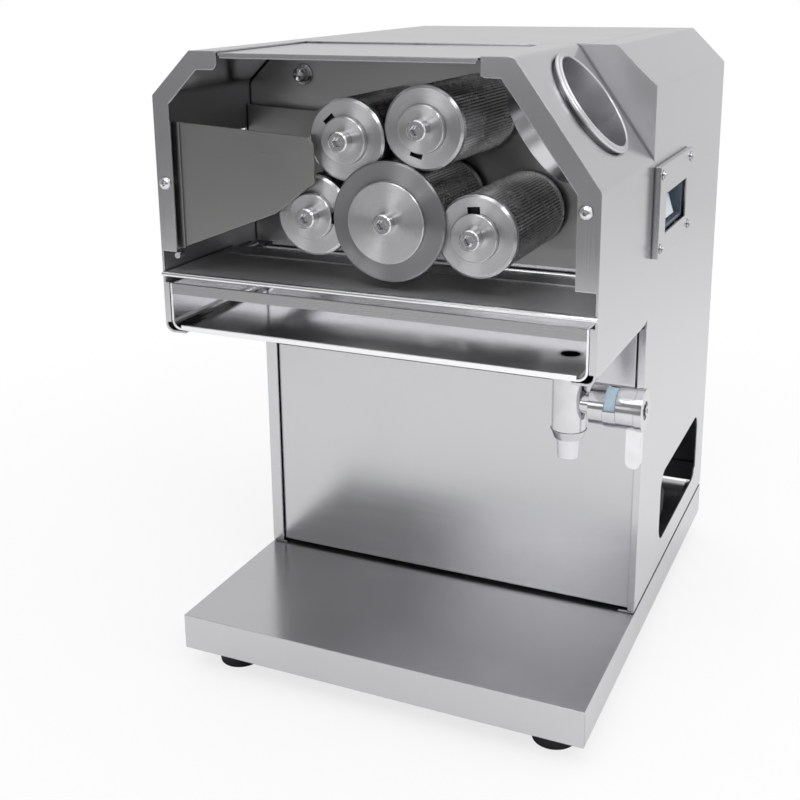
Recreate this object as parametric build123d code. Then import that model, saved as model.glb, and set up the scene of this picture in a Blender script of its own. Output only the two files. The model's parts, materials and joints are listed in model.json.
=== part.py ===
from build123d import *
import math
import os

# Electric sugarcane juicer, desktop size, five rollers on overhung shafts.
# Millimetres. X to the right, Y to the back, Z up, rubber feet on Z = 0.
# Pieces are drawn with X = 0 in the middle of the housing and Y = 0 on the front of the head,
# and written with the origin in the middle of the footprint, tap included.
PLAN_CENTRE = (10.0, 190.0)

# Overall size
WIDTH = 300.0
HALF = WIDTH / 2
DEPTH = 380.0
HEIGHT = 449.0
SHEET = 1.5

# Base and feet
FOOT_H = 18.0
FOOT_R = 15.0
BASE_TOP = 44.0
FOOT_X = 122.0
FOOT_Y = 30.0

# Column and head
COLUMN_Y = 130.0
HEAD_Z = 260.0
LEFT_FOLD = 30.0
HEAD_FOLD_X = 97.0
HEAD_FOLD_Z = 375.0
COLUMN_FOLD = 27.0
RETURN_W = 20.0
FLANGE_END_Z = 316.5
TAB_ROUND = 4.5
TAB_W = 4.0
ROOF_GAP = 1.5

# Rollers: centre of each one in X and Z, and the gears that tie them together
GEAR_MODULE = 2.5
MAIN = (13.0, 346.0)
UPPER_LEFT = (-16.96, 395.08)
UPPER_RIGHT = (35.40, 404.34)
LOWER_LEFT = (-41.20, 345.70)
LOWER_RIGHT = (69.60, 340.40)
ROLLER_R = 26.0
ROLLER_FRONT = 14.0
ROLLER_BACK = 112.0
GROOVES = 48
GROOVE_DEPTH = 1.1
MAIN_FLANGE_R = 38.0
MAIN_FRONT = 10.0
SHAFT_R = 10.0
CORE_R = 15.0
BEARING_R = 21.0
BEARING_BORE_R = 10.05

# Plates that hold the rollers
PLATE_Y = 119.0
PLATE_T = 10.0
REAR_Y = 194.0
GEARBOX_BOLTS = [(-31, 302), (57, 302), (9.4, 404)]

# Power socket on the back panel
SOCKET_X = -98.0
SOCKET_Z = 104.0

# Cane inlet on the right chamfer
INLET_Y = 72.6
INLET_R = 34.0
INLET_WALL = 1.8
INLET_OUT = 4.5
INLET_IN = 36.0
INLET_UP = 4.3

# Juice pan, roller tray and tap
PAN_HALF = 145.2
PAN_Z = 261.85
PAN_TOP = 294.5
TRAY_Z = 302.25
TAP_X = 121.0
TAP_Y = 47.0
TAP_AXIS_Z = 232.5
PLUG_R = 5.6

# Switch on the right side
SWITCH_Y = (152.0, 220.0)
SWITCH_Z = (322.0, 350.0)
COVER_Y = (133.0, 237.0)
COVER_Z = (308.0, 370.0)


def box(x0, x1, y0, y1, z0, z1):
    centre = Pos((x0 + x1) / 2, (y0 + y1) / 2, (z0 + z1) / 2)
    return centre * Box(abs(x1 - x0), abs(y1 - y0), abs(z1 - z0))


def rod_x(y, z, r, x0, x1):
    return Pos((x0 + x1) / 2, y, z) * Rot(0, 90, 0) * Cylinder(r, x1 - x0)


def rod_y(x, z, r, y0, y1):
    return Pos(x, (y0 + y1) / 2, z) * Rot(90, 0, 0) * Cylinder(r, y1 - y0)


def rod_z(x, y, r, z0, z1):
    return Pos(x, y, (z0 + z1) / 2) * Cylinder(r, z1 - z0)


def cone_y(x, z, r0, r1, y0, y1):
    # r0 is the radius at y0 and r1 the radius at y1
    return Pos(x, (y0 + y1) / 2, z) * Rot(-90, 0, 0) * Cone(r0, r1, y1 - y0)


def cone_z(x, y, r0, r1, z0, z1):
    return Pos(x, y, (z0 + z1) / 2) * Cone(r0, r1, z1 - z0)


def prism_y(points, y0, y1):
    face = make_face(Polyline(*[(x, y0, z) for x, z in points], close=True))
    return extrude(face, amount=y1 - y0, dir=(0, 1, 0))


def prism_x(points, x0, x1):
    face = make_face(Polyline(*[(x0, y, z) for y, z in points], close=True))
    return extrude(face, amount=x1 - x0, dir=(1, 0, 0))


def rounded(path, r, steps=4):
    # replaces every inner corner of an open path by a short arc
    out = [path[0]]
    for a, p, b in zip(path, path[1:], path[2:]):
        la = math.dist(a, p)
        lb = math.dist(b, p)
        ua = ((a[0] - p[0]) / la, (a[1] - p[1]) / la)
        ub = ((b[0] - p[0]) / lb, (b[1] - p[1]) / lb)
        half = math.acos(max(-1, min(1, ua[0] * ub[0] + ua[1] * ub[1]))) / 2
        cut = min(r / math.tan(half), 0.45 * la, 0.45 * lb)
        radius = cut * math.tan(half)
        mid = (ua[0] + ub[0], ua[1] + ub[1])
        ml = math.hypot(*mid)
        c = (p[0] + mid[0] / ml * radius / math.sin(half), p[1] + mid[1] / ml * radius / math.sin(half))
        s = math.atan2(p[1] + ua[1] * cut - c[1], p[0] + ua[0] * cut - c[0])
        e = math.atan2(p[1] + ub[1] * cut - c[1], p[0] + ub[0] * cut - c[0])
        turn = (e - s + math.pi) % (2 * math.pi) - math.pi
        for k in range(steps + 1):
            t = s + turn * k / steps
            out.append((c[0] + radius * math.cos(t), c[1] + radius * math.sin(t)))
    return out + [path[-1]]


def folded(path, t):
    # closed outline of a sheet whose outer face is the path and which is t thick to its right
    inner = []
    for i, p in enumerate(path):
        a = path[max(i - 1, 0)]
        b = path[min(i + 1, len(path) - 1)]
        n0 = normal(a, p) if i > 0 else normal(p, b)
        n1 = normal(p, b) if i < len(path) - 1 else n0
        k = t / (1 + n0[0] * n1[0] + n0[1] * n1[1])
        inner.append((p[0] + (n0[0] + n1[0]) * k, p[1] + (n0[1] + n1[1]) * k))
    return path + inner[::-1]


def normal(a, b):
    length = math.dist(a, b)
    return ((b[1] - a[1]) / length, -(b[0] - a[0]) / length)


def one(shape):
    # the single solid of a shape
    solids = shape.solids()
    if len(solids) != 1:
        raise ValueError("expected one solid, got %d" % len(solids))
    return solids[0]


def base_pan():
    # folded pan, open below, with a return lip and a plate in each corner for the feet
    pan = box(-HALF, HALF, 0, DEPTH, FOOT_H, BASE_TOP)
    pan -= box(-HALF + SHEET, HALF - SHEET, SHEET, DEPTH - SHEET, FOOT_H - 1, BASE_TOP - SHEET)
    lip = box(-HALF + 1, HALF - 1, 1, DEPTH - 1, FOOT_H, FOOT_H + SHEET)
    lip -= box(-HALF + 14, HALF - 14, 14, DEPTH - 14, FOOT_H - 1, FOOT_H + 3)
    pan += lip
    for sx in (-1, 1):
        for y0 in (1, DEPTH - 55):
            x0, x1 = sorted((sx * 95, sx * (HALF - 1)))
            pan += box(x0, x1, y0, y0 + 54, FOOT_H, FOOT_H + SHEET)
    for sx in (-1, 1):
        for y in (SHEET, DEPTH - SHEET - 0.4):
            x0, x1 = sorted((sx * (HALF - 6), sx * (HALF + 1)))
            pan -= box(x0, x1, y, y + 0.4, FOOT_H - 1, BASE_TOP - 2)
    for x, y in foot_spots():
        pan -= rod_z(x, y, 2.7, FOOT_H - 1, FOOT_H + 4)
    return one(pan)


def foot_spots():
    return [(sx * FOOT_X, y) for sx in (-1, 1) for y in (FOOT_Y, DEPTH - FOOT_Y)]


def rubber_feet():
    # four turned feet, each with a counterbore for its screw
    feet = []
    for x, y in foot_spots():
        foot = cone_z(x, y, FOOT_R, FOOT_R + 2, 0, FOOT_H)
        foot -= rod_z(x, y, 5.5, -1, 9)
        foot -= rod_z(x, y, 2.6, 8, FOOT_H + 1)
        feet.append(one(foot))
    return Compound(children=feet)


def foot_screws():
    screws = []
    for x, y in foot_spots():
        screw = rod_z(x, y, 4.5, 5.5, 9) + rod_z(x, y, 2.5, 9, 27)
        screw += extrude(Pos(x, y, FOOT_H + SHEET) * RegularPolygon(4.5, 6), 4)
        screws.append(one(screw))
    return Compound(children=screws)


def side_panel_left():
    # one folded sheet: head side, column side, small top fold, front flange and bottom rails
    x = -HALF
    top = [(x, HEIGHT - LEFT_FOLD + 1), (x + LEFT_FOLD, HEIGHT), (x + LEFT_FOLD + RETURN_W, HEIGHT)]
    head = rounded([(x + 15, HEAD_Z), (x, HEAD_Z)] + top, 6)
    column = rounded([(x + 12, BASE_TOP), (x, BASE_TOP)] + top, 3)
    panel = prism_y(folded(head, SHEET), 0, COLUMN_Y + 1)
    panel += prism_y(folded(column, SHEET), COLUMN_Y, DEPTH)
    flange = [(x, FLANGE_END_Z), (x + 12, FLANGE_END_Z), (x + 12, 414.8)]
    flange += rounded([(-115.2, 437), (-100, 437), (-100, HEIGHT)], TAB_ROUND)
    flange += [(x + LEFT_FOLD, HEIGHT), (x, HEIGHT - LEFT_FOLD + 1)]
    panel += prism_y(flange, 0, SHEET)
    panel += box(x + 1, x + 4.4, 0, SHEET, HEAD_Z + 7, 295)
    panel += box(x + 1, x + 9, COLUMN_Y, COLUMN_Y + SHEET, BASE_TOP + 2, HEAD_Z - 0.5)
    panel += box(x + 1, x + 8, 4, 112, TRAY_Z - SHEET - 2, TRAY_Z - SHEET - 0.5)
    panel -= box(x - 1, x + 3, 9, 112, 321, 386)
    panel -= box(x + 2.5, x + 16, 127.8, COLUMN_Y + 2, HEAD_Z - 0.4, HEAD_Z + 2.2)
    panel -= rod_y(-143.6, 362.5, 2.6, -1, 3)
    return one(panel)


def chamfer_frame():
    # frame on the right chamfer: Z along its outward normal, origin on the inlet axis
    dx = HALF - HEAD_FOLD_X
    dz = HEIGHT - HEAD_FOLD_Z
    length = math.hypot(dx, dz)
    n = (dz / length, 0, dx / length)
    up = (-dx / length, 0, dz / length)
    mx = (HALF + HEAD_FOLD_X) / 2 + up[0] * INLET_UP
    mz = (HEIGHT + HEAD_FOLD_Z) / 2 + up[2] * INLET_UP
    return Plane(origin=(mx, INLET_Y, mz), x_dir=(0, 1, 0), z_dir=n)


def side_panel_right():
    # head side with the large chamfer, column side with a small one, and the step between them
    x = HALF
    head = rounded([(HEAD_FOLD_X - RETURN_W, HEIGHT), (HEAD_FOLD_X, HEIGHT), (x, HEAD_FOLD_Z),
                    (x, HEAD_Z), (x - 15, HEAD_Z)], 6)
    column = rounded([(x - COLUMN_FOLD - RETURN_W, HEIGHT), (x - COLUMN_FOLD, HEIGHT),
                      (x, HEIGHT - COLUMN_FOLD), (x, BASE_TOP), (x - 12, BASE_TOP)], 3)
    panel = prism_y(folded(head, SHEET), 0, COLUMN_Y + 1)
    panel += prism_y(folded(column, SHEET), COLUMN_Y, DEPTH)
    step = [(x, HEAD_FOLD_Z - 2), (x, HEIGHT - COLUMN_FOLD + 1), (x - COLUMN_FOLD - 1, HEIGHT - 0.2),
            (HEAD_FOLD_X - 2, HEIGHT - 0.2), (HEAD_FOLD_X - 1, HEIGHT - 3), (x - 3, HEAD_FOLD_Z - 2)]
    panel += prism_y(step, COLUMN_Y, COLUMN_Y + SHEET)
    flange = [(x, FLANGE_END_Z), (x - 14, FLANGE_END_Z), (x - 14, 372.5)]
    flange += rounded([(89.5, 436.5), (76, 436.5), (76, HEIGHT)], TAB_ROUND)
    flange += [(HEAD_FOLD_X, HEIGHT), (x, HEAD_FOLD_Z)]
    panel += prism_y(flange, 0, SHEET) & prism_y(folded(head, 30), -1, 3)
    panel += box(x - 4.4, x - 1, 0, SHEET, HEAD_Z + 7, 295)
    panel += box(x - 5, x - 1, COLUMN_Y, COLUMN_Y + SHEET, BASE_TOP + 2, HEAD_Z - 0.5)
    panel += box(x - 8, x - 1, 4, 112, TRAY_Z - SHEET - 2, TRAY_Z - SHEET - 0.5)
    panel -= box(x - 16, x - 2.5, 127.8, COLUMN_Y + 2, HEAD_Z - 0.4, HEAD_Z + 2.2)
    panel -= chamfer_frame() * Cylinder(INLET_R + 0.02, 30)
    panel -= box(x - 3, x + 1, SWITCH_Y[0], SWITCH_Y[1], SWITCH_Z[0], SWITCH_Z[1])
    panel -= side_window()
    panel -= rod_y(141.1, 363, 2.6, -1, 3)
    for y, z in cover_screw_spots():
        panel -= rod_x(y, z, 1.6, x - 3, x + 1)
    return one(panel)


def side_window():
    # rounded service window low on the right side
    sketch = Plane.YZ * (Pos(277, 94.3) * RectangleRounded(146, 57.5, 14))
    return extrude(Pos(HALF - 4, 0, 0) * sketch, amount=8, dir=(1, 0, 0))


def roof_panel():
    # lid over the roller chamber, with a turned down front edge, hung by short tabs in the gap around it
    left = -HALF + LEFT_FOLD + RETURN_W + 0.05
    right = HEAD_FOLD_X - RETURN_W - 0.05
    back = 117.95
    x0 = left + ROOF_GAP
    x1 = right - ROOF_GAP
    y1 = back - ROOF_GAP
    panel = box(x0, x1, 0, y1, HEIGHT - SHEET, HEIGHT)
    panel += box(x0 + 1, x1 - 1, 0, SHEET, HEIGHT - 4.5, HEIGHT)
    for y in (2, 106):
        panel += box(left, right, y, y + TAB_W, HEIGHT - SHEET, HEIGHT)
    for x in (-90, -14, 68):
        panel += box(x, x + TAB_W, y1 - 1, back, HEIGHT - SHEET, HEIGHT)
    return one(panel)


def column_top():
    # top sheet of the column, butted between the returns of the two sides
    left = -HALF + LEFT_FOLD + RETURN_W + 0.2
    right = HALF - COLUMN_FOLD - RETURN_W - 0.2
    top = box(left, right, COLUMN_Y + 1.7, DEPTH, HEIGHT - SHEET, HEIGHT)
    top += box(left, HEAD_FOLD_X - RETURN_W - 0.2, 118, COLUMN_Y + 2, HEIGHT - SHEET, HEIGHT)
    return one(top)


def back_panel():
    # back sheet with folded edges, set between the sides
    g = HALF - SHEET - 0.1
    foot = BASE_TOP + 3
    outline = [(-g, foot), (g, foot), (g, HEIGHT - COLUMN_FOLD - 2)]
    outline += [(g - COLUMN_FOLD + 0.4, HEIGHT - 2), (-g + LEFT_FOLD - 0.4, HEIGHT - 2)]
    outline += [(-g, HEIGHT - LEFT_FOLD - 2)]
    panel = prism_y(outline, DEPTH - SHEET, DEPTH)
    for s in (-1, 1):
        x0, x1 = sorted((s * g, s * (g - SHEET)))
        panel += box(x0, x1, DEPTH - 12, DEPTH, foot, HEIGHT - LEFT_FOLD - 6)
    panel -= Pos(SOCKET_X, 0, SOCKET_Z) * box(-13.8, 13.8, DEPTH - 3, DEPTH + 1, -10.4, 10.4)
    return one(panel)


def column_front_panel():
    # front sheet of the column, inset behind the returns of the sides
    x = HALF - SHEET - 0.4
    panel = box(-x, x, 133, 133 + SHEET, BASE_TOP + 3, 214)
    for s in (-1, 1):
        x0, x1 = sorted((s * x, s * (x - SHEET)))
        panel += box(x0, x1, 133, 145, BASE_TOP + 3, 214)
    return one(panel)


def splash_plate():
    # plate between the juice pan and the column, ending in a folded drip edge
    x = HALF - SHEET - 0.4
    edge = folded(rounded([(128.4, 299.6), (128.4, 216), (140, 216)], 3), -SHEET)
    plate = prism_x(edge, -x + 8.2, x - 4.2)
    return one(plate)


def rear_crossbar():
    # square tube across the foot of the back panel, seen through the side window
    bar = box(-146.8, 146.8, 366, DEPTH - SHEET, 54, 65)
    bar -= box(-150, 150, 367.5, DEPTH - SHEET - 1.5, 55.5, 63.5)
    return one(bar)


def roller_plate():
    # thick back wall of the chamber that carries the five front bearings
    g = HALF - SHEET - 0.3
    dx = HALF - HEAD_FOLD_X
    dz = HEIGHT - HEAD_FOLD_Z
    drop = 2.4 * math.hypot(dx, dz) / dx
    z_right = HEAD_FOLD_Z - drop + (HALF - g) * dz / dx
    z_top = HEIGHT - SHEET - 0.3
    x_right = g - (z_top - z_right) * dx / dz
    outline = [(-g, 300), (g, 300), (g, z_right), (x_right, z_top), (-g + 29.5, z_top), (-g, 418.5)]
    plate = prism_y(outline, PLATE_Y, PLATE_Y + PLATE_T)
    for x, z in roller_axes():
        plate -= rod_y(x, z, BEARING_R, PLATE_Y - 1, PLATE_Y + PLATE_T + 1)
    plate -= rod_y(-103, 425.6, 4, PLATE_Y - 1, PLATE_Y + PLATE_T + 1)
    return one(plate)


def roller_axes():
    return [UPPER_LEFT, UPPER_RIGHT, MAIN, LOWER_LEFT, LOWER_RIGHT]


def bearings(y0, y1):
    rings = []
    for x, z in roller_axes():
        rings.append(one(rod_y(x, z, BEARING_R, y0, y1) - rod_y(x, z, BEARING_BORE_R, y0 - 1, y1 + 1)))
    return Compound(children=rings)


def rear_plate():
    # second bearing plate, behind the gears
    plate = box(-88, 117, REAR_Y, REAR_Y + PLATE_T, 294, 443)
    for x, z in roller_axes():
        plate -= rod_y(x, z, BEARING_R, REAR_Y - 1, REAR_Y + PLATE_T + 1)
    for x, z in spacer_spots() + GEARBOX_BOLTS:
        plate -= rod_y(x, z, 4, REAR_Y - 1, REAR_Y + PLATE_T + 1)
    return one(plate)


def spacer_spots():
    return [(-64, 408), (102, 406), (-78, 309), (108, 309)]


def plate_spacers():
    posts = []
    for x, z in spacer_spots():
        post = rod_y(x, z, 8, PLATE_Y + PLATE_T, REAR_Y)
        post += rod_y(x, z, 4, REAR_Y - 1, REAR_Y + PLATE_T + 6)
        posts.append(one(post))
    return Compound(children=posts)


def groove_outline(x, z):
    # outline of a roller with lengthwise V grooves
    points = []
    pitch = 2 * math.pi / GROOVES
    for k in range(GROOVES):
        for share, r in ((0.0, ROLLER_R), (0.5, ROLLER_R), (0.75, ROLLER_R - GROOVE_DEPTH)):
            a = (k + share) * pitch
            points.append((x + r * math.cos(a), z + r * math.sin(a)))
    return points


def roller_sleeve(spot, key_angle, front=ROLLER_FRONT):
    # grooved sleeve with turned collars at both ends and a keyway in its bore
    x, z = spot
    sleeve = prism_y(groove_outline(x, z), front + 6, ROLLER_BACK - 5)
    sleeve += cone_y(x, z, ROLLER_R - 1.6, ROLLER_R, front, front + 1.6)
    sleeve += rod_y(x, z, ROLLER_R, front + 1.6, front + 6)
    sleeve += rod_y(x, z, ROLLER_R, ROLLER_BACK - 5, ROLLER_BACK)
    sleeve -= rod_y(x, z, CORE_R, front - 1, ROLLER_BACK + 1)
    sleeve -= keyway(x, z, key_angle, front - 1, ROLLER_BACK + 1, 3.4)
    return one(sleeve)


def keyway(x, z, angle, y0, y1, depth):
    slot = box(CORE_R - 2, CORE_R + depth, y0, y1, -4, 4)
    return Pos(x, 0, z) * Rot(0, -angle, 0) * slot


def main_sleeve():
    # middle roller: the same sleeve behind a wide end flange that laps its neighbours
    x, z = MAIN
    sleeve = prism_y(groove_outline(x, z), ROLLER_FRONT + 6, ROLLER_BACK - 5)
    sleeve += cone_y(x, z, MAIN_FLANGE_R - 1, MAIN_FLANGE_R, MAIN_FRONT, MAIN_FRONT + 1)
    sleeve += rod_y(x, z, MAIN_FLANGE_R, MAIN_FRONT + 1, MAIN_FRONT + 3.4)
    sleeve += rod_y(x, z, ROLLER_R, MAIN_FRONT + 3.4, ROLLER_FRONT + 6)
    sleeve += rod_y(x, z, ROLLER_R, ROLLER_BACK - 5, ROLLER_BACK)
    sleeve -= rod_y(x, z, CORE_R, MAIN_FRONT - 1, ROLLER_BACK + 1)
    sleeve -= keyway(x, z, 90, MAIN_FRONT + 8, ROLLER_BACK + 1, 3.4)
    return one(sleeve)


def roller_shaft(spot, key_angle, end, front=ROLLER_FRONT, hub_r=CORE_R, hub=4.5):
    # stepped shaft: hub seen at the front, core with its key, journal through both plates
    x, z = spot
    shaft = rod_y(x, z, CORE_R, front, ROLLER_BACK + 1.5)
    shaft += cone_y(x, z, hub_r - 0.6, hub_r, front - hub, front - hub + 0.6)
    shaft += rod_y(x, z, hub_r, front - hub + 0.6, front)
    shaft += keyway(x, z, key_angle, front + 9, ROLLER_BACK - 1, 3.4)
    shaft += rod_y(x, z, 13, ROLLER_BACK + 1, PLATE_Y - 0.4)
    shaft += rod_y(x, z, SHAFT_R, ROLLER_BACK, end)
    shaft -= rod_y(x, z, 4, front - hub - 1, front + 16)
    return one(shaft)


def end_bolt(spot, y_hub, head):
    # socket head bolt in the end of a shaft, with a washer face
    x, z = spot
    bolt = cone_y(x, z, 5.7, 6.5, y_hub - head, y_hub - head + 0.8)
    bolt += rod_y(x, z, 6.5, y_hub - head + 0.8, y_hub)
    bolt += rod_y(x, z, 4, y_hub - 0.5, y_hub + 18)
    socket = extrude(Plane.XZ.offset(-(y_hub - head - 0.5)) * (Pos(x, z) * RegularPolygon(3.4, 6)), -4)
    return one(bolt - socket)


def gear_outline(x, z, teeth, phase):
    # spur gear outline with involute flanks, a tooth centred on the phase angle in degrees
    rp = GEAR_MODULE * teeth / 2
    rb = rp * math.cos(math.radians(20))
    tip = rp + 0.86 * GEAR_MODULE
    root = rp - 1.2 * GEAR_MODULE
    inv = math.tan(math.radians(20)) - math.radians(20)
    half_pitch = math.pi / teeth / 2 * 0.86

    def half_at(r):
        if r <= rb:
            return half_pitch + inv
        a = math.acos(rb / r)
        return half_pitch + inv - (math.tan(a) - a)

    points = []
    for k in range(teeth):
        centre = math.radians(phase) + 2 * math.pi * k / teeth
        for side, radii in ((-1, (root, rp - 0.2, tip)), (1, (tip, rp - 0.2, root))):
            for r in radii:
                a = centre + side * half_at(r)
                points.append((x + r * math.cos(a), z + r * math.sin(a)))
    return points


def gear_ring(spot, teeth, phase, plane):
    # one toothed ring; planes C, A, B and D stand one behind the other
    y0 = 134 + 14 * "CABD".index(plane)
    return prism_y(gear_outline(spot[0], spot[1], teeth, phase), y0, y0 + 12)


def gear(spot, rings):
    # one or two toothed rings on a common hub
    x, z = spot
    lows = [134 + 14 * "CABD".index(ring[2]) for ring in rings]
    body = rod_y(x, z, 16, min(lows) - 1.5, max(lows) + 13.5)
    for teeth, phase, plane in rings:
        body += gear_ring(spot, teeth, phase, plane)
    body -= rod_y(x, z, SHAFT_R, 120, 200)
    return one(body)


def angle_to(a, b):
    return math.degrees(math.atan2(b[1] - a[1], b[0] - a[0]))


def mate(a, b, teeth):
    # phase of the gear on b so that a gap faces the tooth that gear a points at b
    return angle_to(b, a) + 180 / teeth


def gears():
    main = gear(MAIN, [(23, angle_to(MAIN, UPPER_LEFT), "A"), (25, angle_to(MAIN, UPPER_RIGHT), "B")])
    upper_left = gear(UPPER_LEFT, [(23, mate(MAIN, UPPER_LEFT, 23), "A"),
                                   (22, angle_to(UPPER_LEFT, LOWER_LEFT), "C")])
    lower_left = gear(LOWER_LEFT, [(22, mate(UPPER_LEFT, LOWER_LEFT, 22), "C")])
    upper_right = gear(UPPER_RIGHT, [(25, mate(MAIN, UPPER_RIGHT, 25), "B"),
                                     (29, angle_to(UPPER_RIGHT, LOWER_RIGHT), "D")])
    lower_right = gear(LOWER_RIGHT, [(29, mate(UPPER_RIGHT, LOWER_RIGHT, 29), "D")])
    return {"gear_main": main, "gear_upper_left": upper_left, "gear_lower_left": lower_left,
            "gear_upper_right": upper_right, "gear_lower_right": lower_right}


def gearbox():
    # reduction gearbox with a hollow output that takes the middle roller shaft
    x, z = MAIN
    body = box(x - 50, x + 50, REAR_Y + PLATE_T + 6, 268, z - 50, z + 50)
    body = chamfer(body.edges().filter_by(Axis.Y), 8)
    body += rod_y(x, z, 30, REAR_Y + PLATE_T, REAR_Y + PLATE_T + 6.5)
    body -= rod_y(x, z, BEARING_BORE_R, REAR_Y, 238)
    body += box(-2, 21, REAR_Y + PLATE_T + 6, 226, z + 44, 412)
    for bx, bz in GEARBOX_BOLTS:
        body += rod_y(bx, bz, 7, REAR_Y + PLATE_T, REAR_Y + PLATE_T + 8)
        body -= rod_y(bx, bz, 4, REAR_Y + PLATE_T - 1, 222)
    return one(body)


def gearbox_bolts():
    bolts = []
    for x, z in GEARBOX_BOLTS:
        bolt = rod_y(x, z, 4, REAR_Y - 1, 221)
        bolt += extrude(Plane.XZ.offset(-REAR_Y) * (Pos(x, z) * RegularPolygon(7, 6)), 4)
        bolts.append(one(bolt))
    return Compound(children=bolts)


def motor():
    # finned motor behind the gearbox, with its terminal box on the left
    x, z = MAIN
    body = rod_y(x, z, 46, 268, 352)
    for k in range(16):
        fin = Pos(x, 310, z) * Rot(0, k * 22.5, 0) * Pos(48, 0, 0) * Box(8, 72, 2.4)
        body += fin
    body += rod_y(x, z, 50, 352, 372)
    body += box(x - 74, x - 40, 286, 334, z - 22, z + 22)
    return one(body)


def inlet_tube():
    # cane inlet set square to the chamfer, its outer end swelling into a rolled rim
    mid = (INLET_OUT - INLET_IN) / 2
    length = INLET_OUT + INLET_IN
    tube = Pos(0, 0, mid) * Cylinder(INLET_R, length)
    bead = INLET_R + 2.4
    bead_z = INLET_OUT - 1.4
    tube += Pos(0, 0, bead_z) * Cylinder(bead, 1.8)
    tube += Pos(0, 0, bead_z + 1.3) * Cone(bead, bead - 1.1, 0.8)
    tube += Pos(0, 0, bead_z - 1.5) * Cone(INLET_R, bead, 1.2)
    tube -= Pos(0, 0, mid) * Cylinder(INLET_R - INLET_WALL, length + 10)
    return one(chamfer_frame() * tube)


def pulp_chute():
    # open trough that takes the pressed cane to the left wall
    side = [(-148.2, 403.3), (-39, 396.8), (-35.5, 392), (-35.5, 368.5), (-64.5, 346.6), (-148.2, 314.2)]
    side_back = [(-148.2, 403.3), (-37, 397), (-37, 370), (-61, 353), (-68.6, 345.9), (-148.2, 314.2)]
    chute = prism_y(side, 5.9, 7.4)
    chute += prism_y(side_back, 113.4, 114.9)
    floor = [(-68.4, 345.2), (-148.2, 314.3), (-148.2, 315.9), (-68.9, 346.7)]
    chute += prism_y(floor, 6, 114)
    chute += box(-138.6, -134.2, 4.9, 6, 318.6, 402.6)
    return one(chute)


def roller_tray():
    # slide-in tray below the rollers, with a full width lip at the front and a drip edge behind
    profile = rounded([(4, 295.6), (-1.9, 295.6), (-1.9, TRAY_Z), (86, TRAY_Z)], 1.9, 3)
    tray = prism_x(folded(profile, SHEET), -HALF, HALF)
    for s in (-1, 1):
        x0, x1 = sorted((s * 148, s * 160))
        tray -= box(x0, x1, -0.35, 90, 290, 310)
    tray += box(-140, 140, 63, 65, TRAY_Z - 1, TRAY_Z + 0.7)
    tray += box(-140, 140, 84.5, 86, TRAY_Z - 4, TRAY_Z + 0.9)
    return one(tray)


def juice_pan():
    # shallow pan with open front, low front lip and a drain at the right
    r = 7
    floor = [(-PAN_HALF, PAN_Z), (PAN_HALF, PAN_Z)]
    path = rounded([(-PAN_HALF, PAN_TOP)] + floor + [(PAN_HALF, PAN_TOP)], r, 5)
    pan = prism_y(folded(path[::-1], SHEET), 0.4, 126)
    pan += box(-PAN_HALF + r, PAN_HALF - r, 0.4, 1.9, PAN_Z, PAN_Z + 3.6)
    pan += box(-PAN_HALF + 1, PAN_HALF - 1, 124.5, 126, PAN_Z + 0.8, PAN_TOP) & prism_y(path, 120, 130)
    pan -= rod_z(TAP_X, TAP_Y, 8, PAN_Z - 2, PAN_Z + 4)
    return one(pan)


def tap_body():
    # spout welded under the pan drain, with a side neck and the valve barrel
    spout = rod_z(TAP_X, TAP_Y, 11, 214, PAN_Z)
    spout += rod_z(TAP_X, TAP_Y, 8, PAN_Z - 1, PAN_Z + SHEET)
    spout += cone_z(TAP_X, TAP_Y, 9, 11.6, 208, 214)
    barrel = rod_x(TAP_Y, TAP_AXIS_Z, 7, TAP_X + 5, 138) + rod_x(TAP_Y, TAP_AXIS_Z, 12.5, 136, 146)
    body = spout + barrel
    body -= rod_z(TAP_X, TAP_Y, 6.3, TAP_AXIS_Z + 12, PAN_Z + 4)
    body -= rod_z(TAP_X, TAP_Y, 4.2, 205, PAN_Z)
    body -= rod_x(TAP_Y, TAP_AXIS_Z, 8.05, 141, 147)
    body -= rod_x(TAP_Y, TAP_AXIS_Z, PLUG_R + 0.05, TAP_X - 7.4, 142)
    return one(body)


def tap_nozzle():
    nozzle = cone_z(TAP_X, TAP_Y, 6.7, 7.3, 194.8, 208)
    nozzle -= rod_z(TAP_X, TAP_Y, 4.5, 193, 210)
    return one(nozzle)


def tap_seal_ring():
    # pale blue plastic ring on the barrel
    ring = rod_x(TAP_Y, TAP_AXIS_Z, 11.8, 146, 153) - rod_x(TAP_Y, TAP_AXIS_Z, 8.05, 145, 154)
    return one(ring)


def tap_hub():
    # turning hub of the tap, its stem, and the cross drilled plug that shuts the spout
    hub = rod_x(TAP_Y, TAP_AXIS_Z, 13, 153.4, 165)
    hub += rod_x(TAP_Y, TAP_AXIS_Z, 8, 141.4, 154)
    hub += rod_x(TAP_Y, TAP_AXIS_Z, PLUG_R, TAP_X - 7, 142)
    hub -= rod_y(TAP_X, TAP_AXIS_Z, 3.6, TAP_Y - 10, TAP_Y + 10)
    hub += rod_x(TAP_Y, TAP_AXIS_Z, 13.6, 165, 169.6)
    hub -= rod_x(TAP_Y, TAP_AXIS_Z, 6, 168, 170)
    return one(hub)


def tap_lever():
    # lever hanging from the hub, with rounded end
    lever = box(158.6, 168.2, TAP_Y - 3.2, TAP_Y + 3.2, 198, TAP_AXIS_Z - 12)
    lever += rod_y(163.4, 198.4, 4.8, TAP_Y - 3.2, TAP_Y + 3.2)
    lever -= rod_x(TAP_Y, TAP_AXIS_Z, 13, 150, 165)
    lever -= rod_x(TAP_Y, TAP_AXIS_Z, 13.6, 164.9, 170)
    return one(lever)


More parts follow.
